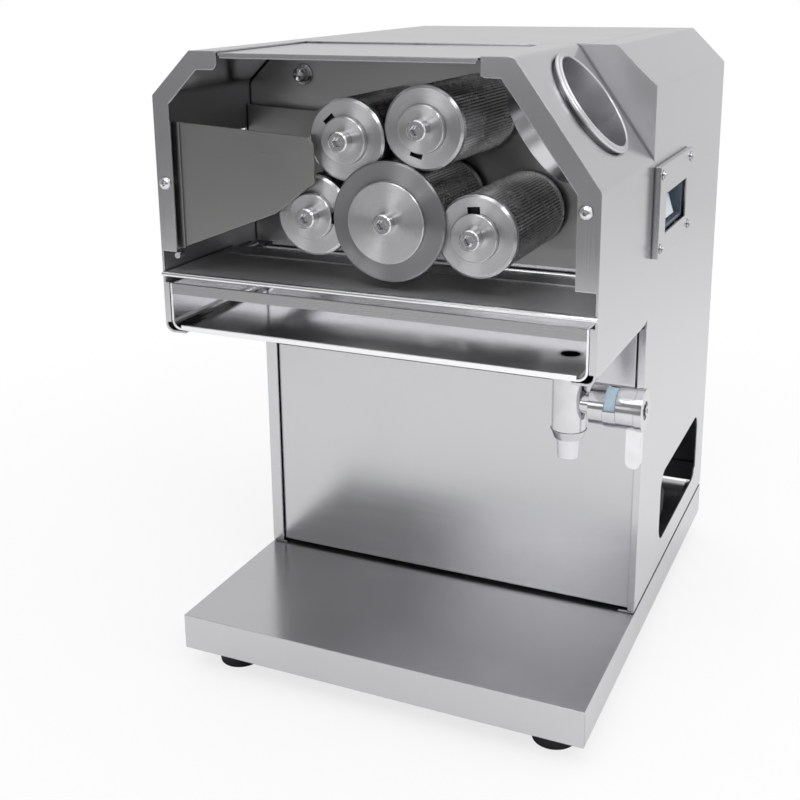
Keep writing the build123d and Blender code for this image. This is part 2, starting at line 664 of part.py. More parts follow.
def tap_screw():
    x = 168.0
    screw = rod_x(TAP_Y, TAP_AXIS_Z, 3.4, x, x + 2.6)
    socket = extrude(Plane.YZ.offset(x + 1) * (Pos(TAP_Y, TAP_AXIS_Z) * RegularPolygon(1.8, 6)), 3)
    return one(screw - socket)


def switch_cover():
    # shallow folded box over the switch, with a window
    y0, y1 = COVER_Y
    z0, z1 = COVER_Z
    cover = box(HALF, HALF + 4.5, y0, y1, z0, z1)
    cover -= box(HALF - 1, HALF + 3.2, y0 + 1.3, y1 - 1.3, z0 + 1.3, z1 - 1.3)
    cover -= box(HALF, HALF + 6, SWITCH_Y[0], SWITCH_Y[1], SWITCH_Z[0], SWITCH_Z[1])
    for y, z in cover_screw_spots():
        cover += rod_x(y, z, 4, HALF, HALF + 4)
        cover -= rod_x(y, z, 1.6, HALF - 1, HALF + 6)
    return one(cover)


def cover_screw_spots():
    y0, y1 = COVER_Y
    z0, z1 = COVER_Z
    return [(y, z) for y in (y0 + 6, y1 - 6) for z in (z0 + 6, z1 - 6)]


def cover_screws():
    screws = []
    for y, z in cover_screw_spots():
        x = HALF + 4.5
        screw = rod_x(y, z, 1.6, HALF - 4, x) + rod_x(y, z, 3.4, x, x + 1.2)
        screw += rod_x(y, z, 2.4, x + 1.2, x + 2)
        screw -= box(x + 1.2, x + 3, y - 4, y + 4, z - 0.45, z + 0.45)
        screws.append(one(screw))
    return Compound(children=screws)


def switch_body():
    # dark moulded well of the power switch, reaching in through the side sheet
    y0, y1 = SWITCH_Y
    z0, z1 = SWITCH_Z
    body = box(118, HALF + 1.6, y0 + 0.2, y1 - 0.2, z0 + 0.2, z1 - 0.2)
    body -= box(134, HALF + 3, y0 + 3, y1 - 3, z0 + 3, z1 - 3)
    body += box(HALF - SHEET - 1.5, HALF - SHEET, y0 - 3, y1 + 3, z0 - 3, z1 + 3) - box(
        130, HALF + 3, y0 + 3, y1 - 3, z0 + 3, z1 - 3)
    body += rod_y(141, 336, 2.5, y0 + 2, y0 + 20) + rod_y(141, 336, 2.5, y1 - 20, y1 - 2)
    return one(body)


def switch_rocker():
    # rocker paddle on a pin along Y, tilted with its lower end out
    profile = [(-5.5, -3.4), (-5.5, 3.4), (1.5, 8.2), (4.2, 8.6), (9.2, -7.8), (5, -9), (1, -5)]
    face = make_face(Polyline(*[(141 + x, 0, 336 + z) for x, z in profile], close=True))
    paddle = extrude(Pos(0, 173.4, 0) * face, amount=25.2, dir=(0, 1, 0))
    paddle -= rod_y(141, 336, 2.55, 172, 200)
    return one(paddle)


def switch_pin():
    return one(rod_y(141, 336, 2.5, 172, 200))


def bezel_screws():
    # two socket screws in the front flanges, one each side
    screws = []
    for x, z in ((-143.6, 362.5), (141.1, 363.0)):
        screw = rod_y(x, z, 4.3, -3.4, 0) + rod_y(x, z, 2.5, -0.5, 5)
        socket = extrude(Plane.XZ.offset(3.9) * (Pos(x, z) * RegularPolygon(2.2, 6)), -2.6)
        screws.append(one(screw - socket))
    return Compound(children=screws)


def dome_nut():
    # domed nut on the left of the chamber back wall, with its stud
    x, z = -103, 425.6
    nut = rod_y(x, z, 7.2, 117.6, PLATE_Y)
    nut += rod_y(x, z, 5.8, 114, 118)
    nut += cone_y(x, z, 4.6, 5.8, 110.6, 114)
    nut += cone_y(x, z, 2.2, 4.6, 108.8, 110.6)
    nut += rod_y(x, z, 3.9, 118, 133)
    return one(nut)


def chute_pin():
    return one(rod_y(-137.2, 314.4, 2.1, -0.4, 5.9))


def power_inlet():
    # flanged three pin socket in the back panel
    y = DEPTH
    body = box(-24, 24, y, y + 2.4, -15, 15)
    body = chamfer(body.edges().filter_by(Axis.Y), 7)
    body += box(-13.6, 13.6, y - 20, y + 1, -10.2, 10.2)
    body -= box(-12, 12, y - 16, y + 4, -8, 8)
    for x, z in ((-7, -1.5), (7, -1.5), (0, 2.5)):
        body += box(x - 1, x + 1, y - 17, y - 2, z - 2, z + 2)
    return one(Pos(SOCKET_X, 0, SOCKET_Z) * body)


def run_capacitor():
    # round black capacitor whose end shows in the side window
    body = rod_x(226, 91, 14, 84, 144)
    body += rod_x(226, 91, 11.5, 144, 146)
    return one(body)


def capacitor_clip():
    # strap bracket that stands on the base and holds the capacitor
    clip = box(100, 120, 206, 246, BASE_TOP, BASE_TOP + 2)
    clip += box(100, 120, 210, 242, BASE_TOP, 98)
    clip += rod_x(226, 91, 16, 100, 120)
    clip -= rod_x(226, 91, 14, 90, 130)
    return one(clip)


def export_all():
    os.makedirs("parts", exist_ok=True)
    rear = REAR_Y + PLATE_T
    parts = {
        "base_pan": base_pan(),
        "rubber_feet": rubber_feet(),
        "foot_screws": foot_screws(),
        "side_panel_left": side_panel_left(),
        "side_panel_right": side_panel_right(),
        "roof_panel": roof_panel(),
        "column_top": column_top(),
        "back_panel": back_panel(),
        "column_front_panel": column_front_panel(),
        "splash_plate": splash_plate(),
        "rear_crossbar": rear_crossbar(),
        "roller_plate": roller_plate(),
        "front_bearings": bearings(PLATE_Y, PLATE_Y + PLATE_T),
        "rear_plate": rear_plate(),
        "rear_bearings": bearings(REAR_Y, rear),
        "plate_spacers": plate_spacers(),
        "roller_sleeve_upper_left": roller_sleeve(UPPER_LEFT, 132),
        "roller_sleeve_upper_right": roller_sleeve(UPPER_RIGHT, 254),
        "roller_sleeve_lower_left": roller_sleeve(LOWER_LEFT, 357),
        "roller_sleeve_lower_right": roller_sleeve(LOWER_RIGHT, 95),
        "roller_sleeve_main": main_sleeve(),
        "shaft_upper_left": roller_shaft(UPPER_LEFT, 132, rear),
        "shaft_upper_right": roller_shaft(UPPER_RIGHT, 254, rear),
        "shaft_lower_left": roller_shaft(LOWER_LEFT, 357, rear),
        "shaft_lower_right": roller_shaft(LOWER_RIGHT, 95, rear),
        "shaft_main": roller_shaft(MAIN, 90, 236, MAIN_FRONT, 25.8, 4),
        "end_bolt_upper_left": end_bolt(UPPER_LEFT, ROLLER_FRONT - 4.5, 7.5),
        "end_bolt_upper_right": end_bolt(UPPER_RIGHT, ROLLER_FRONT - 4.5, 7.5),
        "end_bolt_lower_left": end_bolt(LOWER_LEFT, ROLLER_FRONT - 4.5, 7.5),
        "end_bolt_lower_right": end_bolt(LOWER_RIGHT, ROLLER_FRONT - 4.5, 7.5),
        "end_bolt_main": end_bolt(MAIN, MAIN_FRONT - 4, 5.5),
        "gearbox": gearbox(),
        "gearbox_bolts": gearbox_bolts(),
        "motor": motor(),
        "inlet_tube": inlet_tube(),
        "pulp_chute": pulp_chute(),
        "roller_tray": roller_tray(),
        "juice_pan": juice_pan(),
        "tap_body": tap_body(),
        "tap_nozzle": tap_nozzle(),
        "tap_seal_ring": tap_seal_ring(),
        "tap_hub": tap_hub(),
        "tap_lever": tap_lever(),
        "tap_screw": tap_screw(),
        "switch_cover": switch_cover(),
        "cover_screws": cover_screws(),
        "switch_body": switch_body(),
        "switch_rocker": switch_rocker(),
        "switch_pin": switch_pin(),
        "bezel_screws": bezel_screws(),
        "dome_nut": dome_nut(),
        "chute_pin": chute_pin(),
        "power_inlet": power_inlet(),
        "run_capacitor": run_capacitor(),
        "capacitor_clip": capacitor_clip(),
    }
    parts.update(gears())
    to_origin = Pos(-PLAN_CENTRE[0], -PLAN_CENTRE[1], 0)
    for name, shape in parts.items():
        solids = [to_origin * solid for solid in shape.solids()]
        piece = solids[0] if len(solids) == 1 else Compound(children=solids)
        export_step(piece, "parts/" + name + ".step")


export_all()
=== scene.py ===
import math
import bmesh
import bpy
from mathutils import Matrix, Vector
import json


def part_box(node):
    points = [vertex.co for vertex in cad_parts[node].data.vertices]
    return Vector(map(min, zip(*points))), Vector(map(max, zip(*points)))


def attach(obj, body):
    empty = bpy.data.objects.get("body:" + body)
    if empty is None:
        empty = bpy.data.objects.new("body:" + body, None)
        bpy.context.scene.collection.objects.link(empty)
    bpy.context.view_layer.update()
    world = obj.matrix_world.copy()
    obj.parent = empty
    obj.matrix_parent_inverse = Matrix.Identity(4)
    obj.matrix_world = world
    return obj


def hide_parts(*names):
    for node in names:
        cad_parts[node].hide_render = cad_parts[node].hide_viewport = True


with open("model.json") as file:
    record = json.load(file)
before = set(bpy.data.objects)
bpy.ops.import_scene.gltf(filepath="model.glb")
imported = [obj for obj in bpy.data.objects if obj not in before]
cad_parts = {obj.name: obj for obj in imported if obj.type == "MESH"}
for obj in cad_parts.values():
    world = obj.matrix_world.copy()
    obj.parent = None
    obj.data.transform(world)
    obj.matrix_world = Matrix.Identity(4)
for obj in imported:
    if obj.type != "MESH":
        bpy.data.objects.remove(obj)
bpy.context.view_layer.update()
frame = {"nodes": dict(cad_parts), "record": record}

# Camera: it stands in front of the machine, to the right and a little above the roof.
# The shifted lens keeps the uprights nearly parallel.
CAMERA_PLACE = Vector((0.308956, -0.835885, 0.493313))
CAMERA_AZIMUTH = math.radians(24.5509)
CAMERA_PITCH = math.radians(-14.7597)
CAMERA_ROLL = math.radians(-0.6090)
CAMERA_LENS_MM = 53.712
CAMERA_SENSOR_MM = 36.0
CAMERA_SHIFT_X = 0.00285
CAMERA_SHIFT_Y = -0.13715

level_reach = math.cos(CAMERA_PITCH)
look = Vector((-math.sin(CAMERA_AZIMUTH) * level_reach, math.cos(CAMERA_AZIMUTH) * level_reach,
               math.sin(CAMERA_PITCH)))
level_right = Vector((math.cos(CAMERA_AZIMUTH), math.sin(CAMERA_AZIMUTH), 0))
level_up = level_right.cross(look)
camera_right = math.cos(CAMERA_ROLL) * level_right + math.sin(CAMERA_ROLL) * level_up
camera_up = math.cos(CAMERA_ROLL) * level_up - math.sin(CAMERA_ROLL) * level_right
camera_data = bpy.data.cameras.new("product_camera")
camera_data.lens = CAMERA_LENS_MM
camera_data.sensor_width = CAMERA_SENSOR_MM
camera_data.shift_x = CAMERA_SHIFT_X
camera_data.shift_y = CAMERA_SHIFT_Y
camera = bpy.data.objects.new("product_camera", camera_data)
camera_turn = Matrix((camera_right, camera_up, -look)).transposed().to_4x4()
camera.matrix_world = Matrix.Translation(CAMERA_PLACE) @ camera_turn
bpy.context.scene.collection.objects.link(camera)
bpy.context.scene.camera = camera
bpy.context.scene.view_settings.view_transform = "Standard"


# Studio: a white floor that turns grey far in front, a pale room that is brighter behind and above the
# machine than in front, and five soft lamps. The camera itself sees the room and far floor as plain white.
FLOOR_RADIUS = 1.9
FLOOR_COLOUR = "F8F8F8"
FAR_FLOOR = "7A7A7C"
FLOOR_GREYS = (-1.2, -1.5)
WHITENED_NEAR = 0.75
WHITENED_SPAN = (0.25, 0.95)
ROOM_FRONT = 0.28
ROOM_BACK = 0.7
ROOM_ABOVE = 0.75
LAMPS = [
    # name, place, width, watts
    ("lamp_upper_right", (0.9, -1.2, 1.4), 0.5, 6.0),
    ("lamp_right", (1.5, -0.3, 1.0), 1.8, 6.0),
    ("lamp_above", (0.1, 0.3, 1.9), 2.4, 9.0),
    ("lamp_low_front", (-0.35, -1.5, 0.62), 0.32, 0.7),
    ("lamp_over_front", (0.0, -1.1, 1.8), 0.8, 6.0),
]
LAMP_AIM = Vector((0, 0, 0.25))


def linear(hex_code):
    # the linear colour of an sRGB hex value
    shares = [int(hex_code[i:i + 2], 16) / 255 for i in (0, 2, 4)]
    return tuple(s / 12.92 if s <= 0.04045 else ((s + 0.055) / 1.055) ** 2.4 for s in shares) + (1.0,)


def add_node(tree, kind, inputs=None, **settings):
    # adds one node with its settings, and with values or links on its inputs
    node = tree.nodes.new(kind)
    for key, value in settings.items():
        setattr(node, key, value)
    for key, value in (inputs or {}).items():
        if isinstance(value, bpy.types.NodeSocket):
            tree.links.new(value, node.inputs[key])
        else:
            node.inputs[key].default_value = value
    return node


def to_object(name, shape, crease=None):
    # makes an object of a finished shape, smooth up to the crease angle where one is given
    mesh = bpy.data.meshes.new(name)
    shape.to_mesh(mesh)
    shape.free()
    if crease is not None:
        mesh.shade_smooth()
        mesh.set_sharp_from_angle(angle=math.radians(crease))
    piece = bpy.data.objects.new(name, mesh)
    bpy.context.scene.collection.objects.link(piece)
    return piece


room = bpy.data.worlds.new("studio_room")
room.use_nodes = True
room_tree = room.node_tree
room_tree.nodes.clear()
toward = add_node(room_tree, "ShaderNodeTexCoord").outputs["Generated"]
split = add_node(room_tree, "ShaderNodeSeparateXYZ", {"Vector": toward})
front_to_back = add_node(room_tree, "ShaderNodeMapRange", {
    "Value": split.outputs["Y"], "From Min": -0.5, "From Max": 0.5, "To Min": ROOM_FRONT,
    "To Max": ROOM_BACK}, interpolation_type="SMOOTHSTEP")
low_to_high = add_node(room_tree, "ShaderNodeMapRange", {
    "Value": split.outputs["Z"], "From Min": 0.45, "From Max": 0.9, "To Min": 0.0,
    "To Max": ROOM_ABOVE}, interpolation_type="SMOOTHSTEP")
brighter = add_node(room_tree, "ShaderNodeMath", {
    0: front_to_back.outputs[0], 1: low_to_high.outputs[0]}, operation="MAXIMUM")
light_path = add_node(room_tree, "ShaderNodeLightPath")
seen = add_node(room_tree, "ShaderNodeMix", {
    "Factor": light_path.outputs["Is Camera Ray"], 2: brighter.outputs[0], 3: 1.0}, data_type="FLOAT")
room_light = add_node(room_tree, "ShaderNodeBackground", {
    "Color": (1, 1, 1, 1), "Strength": seen.outputs[0]})
add_node(room_tree, "ShaderNodeOutputWorld", {"Surface": room_light.outputs[0]})
bpy.context.scene.world = room

floor_shape = bmesh.new()
bmesh.ops.create_circle(floor_shape, cap_ends=True, segments=64, radius=FLOOR_RADIUS)
floor = to_object("studio_floor", floor_shape)
floor_finish = bpy.data.materials.new("white_matte_paper")
floor_finish.use_nodes = True
floor_tree = floor_finish.node_tree
floor_tree.nodes.clear()
glow = add_node(floor_tree, "ShaderNodeEmission", {"Color": (1, 1, 1, 1), "Strength": 1.0})
floor_path = add_node(floor_tree, "ShaderNodeLightPath")
floor_place = add_node(floor_tree, "ShaderNodeTexCoord").outputs["Object"]
away = add_node(floor_tree, "ShaderNodeVectorMath", {0: floor_place}, operation="LENGTH")
fading = add_node(floor_tree, "ShaderNodeMapRange", {
    "Value": away.outputs["Value"], "From Min": WHITENED_SPAN[0], "From Max": WHITENED_SPAN[1],
    "To Min": WHITENED_NEAR, "To Max": 1.0}, interpolation_type="SMOOTHSTEP")
forward = add_node(floor_tree, "ShaderNodeSeparateXYZ", {"Vector": floor_place})
far = add_node(floor_tree, "ShaderNodeMapRange", {
    "Value": forward.outputs["Y"], "From Min": FLOOR_GREYS[0], "From Max": FLOOR_GREYS[1], "To Min": 0.0,
    "To Max": 1.0})
floor_colour = add_node(floor_tree, "ShaderNodeMix", {
    "Factor": far.outputs[0], 6: linear(FLOOR_COLOUR), 7: linear(FAR_FLOOR)}, data_type="RGBA")
paper = add_node(floor_tree, "ShaderNodeBsdfDiffuse", {"Color": floor_colour.outputs[2]})
whiter = add_node(floor_tree, "ShaderNodeMath", {
    0: floor_path.outputs["Is Camera Ray"], 1: fading.outputs[0]}, operation="MULTIPLY")
paper_mix = add_node(floor_tree, "ShaderNodeMixShader", {
    0: whiter.outputs[0], 1: paper.outputs[0], 2: glow.outputs[0]})
add_node(floor_tree, "ShaderNodeOutputMaterial", {"Surface": paper_mix.outputs[0]})
floor.data.materials.append(floor_finish)

for lamp_name, lamp_place, lamp_size, lamp_watts in LAMPS:
    lamp_data = bpy.data.lights.new(lamp_name, "AREA")
    lamp_data.size = lamp_size
    lamp_data.energy = lamp_watts
    lamp = bpy.data.objects.new(lamp_name, lamp_data)
    lamp.location = lamp_place
    lamp.rotation_euler = (LAMP_AIM - Vector(lamp_place)).to_track_quat("-Z", "Y").to_euler()
    bpy.context.scene.collection.objects.link(lamp)


# Base: one sheet of satin stainless steel, its four edges folded down and returned below.
# Abrasive belts leave long hairlines from left to right, so highlights smear across them.
STAINLESS = "D2D2D5"
HAIRLINE_MM = 0.35
HAIRLINE_LONG_MM = 45.0
SMUDGE_MM = 90.0
FOLD_SOFTNESS = 0.0009
# Painted shade in corners and gaps: how far the occlusion looks, and how dark it makes the colour.
GAP_SHADE_REACH = 0.003
GAP_SHADE_DARKEST = 0.12
GROUND_DULLER = 0.28
GRAINS = {"X": (1, 0.02, 0), "Y": (0, 1, 0.02)}
TURNED_GRAIN = {"X": "Y", "Y": "Z"}


def new_finish(name):
    # an empty material: itself, its node tree and the piece's own coordinates
    material = bpy.data.materials.new(name)
    material.use_nodes = True
    tree = material.node_tree
    tree.nodes.clear()
    return material, tree, add_node(tree, "ShaderNodeTexCoord").outputs["Object"]


def painted_gap_shade(tree, colour, reach):
    # painted shade: darkens a colour in corners and narrow gaps, where less light reaches
    open_air = add_node(tree, "ShaderNodeAmbientOcclusion", {"Distance": reach}, samples=16)
    share = add_node(tree, "ShaderNodeMapRange", {
        "Value": open_air.outputs["AO"], "From Min": 0.4, "From Max": 0.85, "To Min": GAP_SHADE_DARKEST,
        "To Max": 1.0})
    darkened = add_node(tree, "ShaderNodeVectorMath", {
        0: colour, "Scale": share.outputs[0]}, operation="SCALE")
    return darkened.outputs[0]


def tinted(tree, hex_code, pattern, darker, lighter, span=(0.25, 0.75)):
    # a colour that a pattern makes a little darker and lighter from place to place
    tint = add_node(tree, "ShaderNodeMapRange", {
        "Value": pattern, "From Min": span[0], "From Max": span[1], "To Min": darker, "To Max": lighter})
    colour = add_node(tree, "ShaderNodeVectorMath", {
        0: linear(hex_code)[:3], "Scale": tint.outputs[0]}, operation="SCALE")
    return colour.outputs[0]


def inside_box(tree, place, corners):
    # one where a place is between the box's two corners, and zero elsewhere
    low, high = Vector(corners[0]), Vector(corners[1])
    middle = add_node(tree, "ShaderNodeVectorMath", {0: place, 1: (low + high) / 2}, operation="SUBTRACT")
    halves = add_node(tree, "ShaderNodeVectorMath", {
        0: middle.outputs[0], 1: (high - low) / 2}, operation="DIVIDE")
    sides = add_node(tree, "ShaderNodeVectorMath", {0: halves.outputs[0]}, operation="ABSOLUTE")
    split = add_node(tree, "ShaderNodeSeparateXYZ", {"Vector": sides.outputs[0]}).outputs
    wider = add_node(tree, "ShaderNodeMath", {0: split[0], 1: split[1]}, operation="MAXIMUM")
    widest = add_node(tree, "ShaderNodeMath", {0: wider.outputs[0], 1: split[2]}, operation="MAXIMUM")
    return add_node(tree, "ShaderNodeMath", {0: widest.outputs[0], 1: 1.0}, operation="LESS_THAN").outputs[0]


def satin_stainless(name, grain, hex_code=STAINLESS, smooth=0.17, dull=0.27, ground=None):
    # Satin sheet: long faint streaks that stretch each highlight across the grain. Hairlines are 0.1 mm
    # apart on the real sheet and are drawn coarser so that they show. On faces that stand across the
    # grain they run along the sheet's edge. Ground is a box, as two corners, with a duller surface.
    material, tree, place = new_finish(name)
    facing = add_node(tree, "ShaderNodeNewGeometry").outputs["Normal"]
    lean = add_node(tree, "ShaderNodeVectorMath", {0: facing, 1: GRAINS[grain]}, operation="DOT_PRODUCT")
    lean_size = add_node(tree, "ShaderNodeMath", {0: lean.outputs["Value"]}, operation="ABSOLUTE")
    end_on = add_node(tree, "ShaderNodeMath", {0: lean_size.outputs[0], 1: 0.8}, operation="GREATER_THAN")
    stretches = [[1000 / HAIRLINE_LONG_MM if axis == along else 1000 / HAIRLINE_MM for axis in "XYZ"]
                 for along in (grain, TURNED_GRAIN[grain])]
    stretch = add_node(tree, "ShaderNodeMix", {
        "Factor": end_on.outputs[0], 4: stretches[0], 5: stretches[1]}, data_type="VECTOR")
    drawn = add_node(tree, "ShaderNodeMapping", {"Vector": place, "Scale": stretch.outputs[1]})
    hairlines = add_node(tree, "ShaderNodeTexNoise", {
        "Vector": drawn.outputs[0], "Scale": 1.0, "Detail": 3.0})
    smudges = add_node(tree, "ShaderNodeTexNoise", {
        "Vector": place, "Scale": 1000 / SMUDGE_MM, "Detail": 3.0, "Roughness": 0.6})
    both = add_node(tree, "ShaderNodeMix", {
        "Factor": 0.45, 2: hairlines.outputs[0], 3: smudges.outputs[0]}, data_type="FLOAT")
    rough = add_node(tree, "ShaderNodeMapRange", {
        "Value": both.outputs[0], "From Min": 0.3, "From Max": 0.7, "To Min": smooth, "To Max": dull})
    if ground:
        rough = add_node(tree, "ShaderNodeMath", {
            0: inside_box(tree, place, ground), 1: GROUND_DULLER, 2: rough.outputs[0]},
                         operation="MULTIPLY_ADD")
    colour = tinted(tree, hex_code, both.outputs[0], 0.95, 1.03)
    soft_fold = add_node(tree, "ShaderNodeBevel", {"Radius": FOLD_SOFTNESS}, samples=4)
    scratches = add_node(tree, "ShaderNodeBump", {
        "Strength": 0.06, "Distance": 0.00005, "Height": hairlines.outputs[0],
        "Normal": soft_fold.outputs[0]})
    sideways = add_node(tree, "ShaderNodeVectorMath", {
        0: facing, 1: GRAINS[grain]}, operation="CROSS_PRODUCT")
    across = add_node(tree, "ShaderNodeVectorMath", {0: sideways.outputs[0]}, operation="NORMALIZE")
    # The base colour carries painted shade in corners and gaps.
    steel = add_node(tree, "ShaderNodeBsdfPrincipled", {
        "Base Color": painted_gap_shade(tree, colour, GAP_SHADE_REACH), "Metallic": 1.0,
        "Roughness": rough.outputs[0], "Anisotropic": 0.55,
        "Normal": scratches.outputs[0], "Tangent": across.outputs[0]})
    add_node(tree, "ShaderNodeOutputMaterial", {"Surface": steel.outputs[0]})
    return material


def dress(material, *nodes):
    # gives a material to sub-parts that keep their own shape
    for node in nodes:
        for place in frame["nodes"][node].material_slots:
            place.material = material


sheet_along_x = satin_stainless("satin_stainless_hairlines_x", "X")
dress(sheet_along_x, "base_pan")


# Feet: four turned rubber pads, each held by a zinc plated screw from below. Rubber is nearly black,
# with a dull bloom that hides any clear reflection. The plating is bluish and softly bright.
RUBBER = "17181A"
RUBBER_GRAIN_MM = 1.2


def moulded(name, hex_code, grain_mm, smooth, dull, bump=0.2, gloss=0.5):
    # Moulded or painted skin: fine grain in its roughness and its height breaks up a broad soft sheen.
    material, tree, place = new_finish(name)
    grain = add_node(tree, "ShaderNodeTexNoise", {"Vector": place, "Scale": 1000 / grain_mm, "Detail": 2.0})
    cloud = add_node(tree, "ShaderNodeTexNoise", {"Vector": place, "Scale": 40.0, "Detail": 2.0})
    rough = add_node(tree, "ShaderNodeMapRange", {
        "Value": cloud.outputs[0], "From Min": 0.3, "From Max": 0.7, "To Min": smooth, "To Max": dull})
    colour = tinted(tree, hex_code, grain.outputs[0], 0.88, 1.1, (0.2, 0.8))
    soft_edge = add_node(tree, "ShaderNodeBevel", {"Radius": 0.0005}, samples=4)
    height = add_node(tree, "ShaderNodeBump", {
        "Strength": bump, "Distance": 0.0001, "Height": grain.outputs[0], "Normal": soft_edge.outputs[0]})
    skin = add_node(tree, "ShaderNodeBsdfPrincipled", {
        "Base Color": colour, "Roughness": rough.outputs[0], "Specular IOR Level": gloss,
        "Normal": height.outputs[0]})
    add_node(tree, "ShaderNodeOutputMaterial", {"Surface": skin.outputs[0]})
    return material


def plain_metal(name, hex_code, smooth, dull, grain_mm=2.0, gap_shade_reach=0.001, bump=0.1, soft=0.0004):
    # Metal with no direction in its finish, such as plating, bronze or a casting: even, cloudy shine.
    material, tree, place = new_finish(name)
    grain = add_node(tree, "ShaderNodeTexNoise", {"Vector": place, "Scale": 1000 / grain_mm, "Detail": 3.0})
    rough = add_node(tree, "ShaderNodeMapRange", {
        "Value": grain.outputs[0], "From Min": 0.3, "From Max": 0.7, "To Min": smooth, "To Max": dull})
    colour = tinted(tree, hex_code, grain.outputs[0], 0.92, 1.05)
    soft_edge = add_node(tree, "ShaderNodeBevel", {"Radius": soft}, samples=4)
    height = add_node(tree, "ShaderNodeBump", {
        "Strength": bump, "Distance": 0.0001, "Height": grain.outputs[0], "Normal": soft_edge.outputs[0]})
    # The base colour carries painted shade in corners and gaps.
    metal = add_node(tree, "ShaderNodeBsdfPrincipled", {
        "Base Color": painted_gap_shade(tree, colour, gap_shade_reach), "Metallic": 1.0,
        "Roughness": rough.outputs[0], "Normal": height.outputs[0]})
    add_node(tree, "ShaderNodeOutputMaterial", {"Surface": metal.outputs[0]})
    return material


dress(moulded("black_rubber", RUBBER, RUBBER_GRAIN_MM, 0.55, 0.75), "rubber_feet")
zinc_plate = plain_metal("zinc_plated_steel", "B9BCC0", 0.25, 0.4)
dress(zinc_plate, "foot_screws")


# Sides, roof and column: folded sheets of the same satin stainless steel.
# The sides and roofs are brushed from front to back, and the sheets across them from left to right. The
# welded step above the chamfer and the inner face of the left side are ground by hand.
STEP_FACE = ((0.083, -0.0607, 0.37), (0.142, -0.0592, 0.45))
LEFT_INSIDE = ((-0.1592, -0.188, 0.262), (-0.157, -0.062, 0.45))
sheet_along_y = satin_stainless("satin_stainless_hairlines_y", "Y")
dress(sheet_along_y, "column_top")
dress(satin_stainless("satin_stainless_left_side", "Y", ground=LEFT_INSIDE), "side_panel_left")
dress(satin_stainless("satin_stainless_right_side", "Y", ground=STEP_FACE), "side_panel_right")
dress(sheet_along_x, "back_panel", "column_front_panel", "splash_plate", "rear_crossbar")


# Roof lid: a sheet sunk a little below the folds around it, with its front edge turned down.
# Short tabs cross the gap around it and hold it.
LID_SUNK = 0.0012
LID_SHEET = 0.0015
LID_GAP = 0.0015
TAB_WIDE = 0.004
SIDE_TABS = (0.002, 0.106)
BACK_TABS = (0.0088, 0.0848, 0.1668)


def lathe(name, profile, stand, segments=128, crease=30):
    # turns a closed outline of (radius, height) points about the Z axis of the matrix stand
    shape = bmesh.new()
    rings = []
    for radius, height in profile:
        ring = []
        for k in range(segments):
            turn = 2 * math.pi * k / segments
            ring.append(shape.verts.new((radius * math.cos(turn), radius * math.sin(turn), height)))
        rings.append(ring)
    for ring, following in zip(rings, rings[1:] + rings[:1]):
        for k in range(segments):
            n = (k + 1) % segments
            shape.faces.new((ring[k], ring[n], following[n], following[k]))
    bmesh.ops.remove_doubles(shape, verts=shape.verts, dist=1e-7)
    bmesh.ops.dissolve_degenerate(shape, edges=shape.edges, dist=1e-8)
    bmesh.ops.recalc_face_normals(shape, faces=shape.faces)
    shape.transform(stand)
    return to_object(name, shape, crease)


def keep(piece, body, material=None, nodes=()):
    # lets a finished piece move with its body and stand for the sub-parts that it replaces
    if material:
        piece.data.materials.clear()
        piece.data.materials.append(material)
    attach(piece, body)
    if nodes:
        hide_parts(*nodes)
    return piece


def plain_copy(piece):
    # the evaluated shape of a piece with modifiers, as a piece with none
    evaluated = piece.evaluated_get(bpy.context.evaluated_depsgraph_get())
    mesh = bpy.data.meshes.new_from_object(evaluated)
    piece.modifiers.clear()
    piece.data = mesh
    return piece


def cut(piece, tool, operation="DIFFERENCE"):
    # takes the tool's shape out of a piece, or joins it to the piece
    change = piece.modifiers.new("cut", "BOOLEAN")
    change.operation = operation
    change.solver = "EXACT"
    change.object = tool
    plain_copy(piece)
    bpy.data.objects.remove(tool)
    return piece


def block(name, low, high, stand=Matrix()):
    # a closed block between two corners, in the directions of the matrix stand
    shape = bmesh.new()
    bmesh.ops.create_cube(shape, size=1.0)
    for vert in shape.verts:
        vert.co = Vector([low[i] if vert.co[i] < 0 else high[i] for i in range(3)])
    shape.transform(stand)
    return to_object(name, shape)


lid_low, lid_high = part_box("roof_panel")
lid_top = lid_high.z - LID_SUNK
lid_inner = Vector((lid_low.x + LID_GAP, lid_low.y, lid_top - LID_SHEET))
lid = block("roof_lid", lid_inner, (lid_high.x - LID_GAP, lid_high.y - LID_GAP, lid_top))
cut(lid, block("front_edge", (lid_inner.x + 0.001, lid_low.y, lid_low.z),
               (lid_high.x - LID_GAP - 0.001, lid_low.y + LID_SHEET, lid_top - 0.0005)), "UNION")
for along in SIDE_TABS:
    cut(lid, block("side_tab", (lid_low.x, lid_low.y + along, lid_inner.z),
                   (lid_high.x, lid_low.y + along + TAB_WIDE, lid_top)), "UNION")
for along in BACK_TABS:
    cut(lid, block("back_tab", (lid_low.x + along, lid_high.y - 0.01, lid_inner.z),
                   (lid_low.x + along + TAB_WIDE, lid_high.y, lid_top)), "UNION")
keep(lid, "housing", sheet_along_y, ["roof_panel"])


# Back wall of the chamber: a 10 mm plate that carries the front bushes, with the second plate behind
# the gears. Ground flat, it is duller than the sheets. The posts are turned steel, grey and smooth, and
# the bushes are cast bronze, brown and soft in shine.
ground_plate = satin_stainless("ground_steel_plate", "X", "C6C6C6", 0.3, 0.42)
dress(ground_plate, "roller_plate", "rear_plate")
dress(plain_metal("turned_steel_posts", "A4A5A6", 0.3, 0.42), "plate_spacers")
dress(plain_metal("cast_bronze", "B08D57", 0.3, 0.45), "front_bearings", "rear_bearings")


# Rollers: a shaft with a hub and a socket bolt at its front end, turned from stainless steel.
# The turning tool leaves fine circles, which spread each highlight into a fan from the centre.
TURNED = "CDCDCF"
TURNING_MM = 0.45
ROLLERS = ("main", "upper_left", "upper_right", "lower_left", "lower_right")


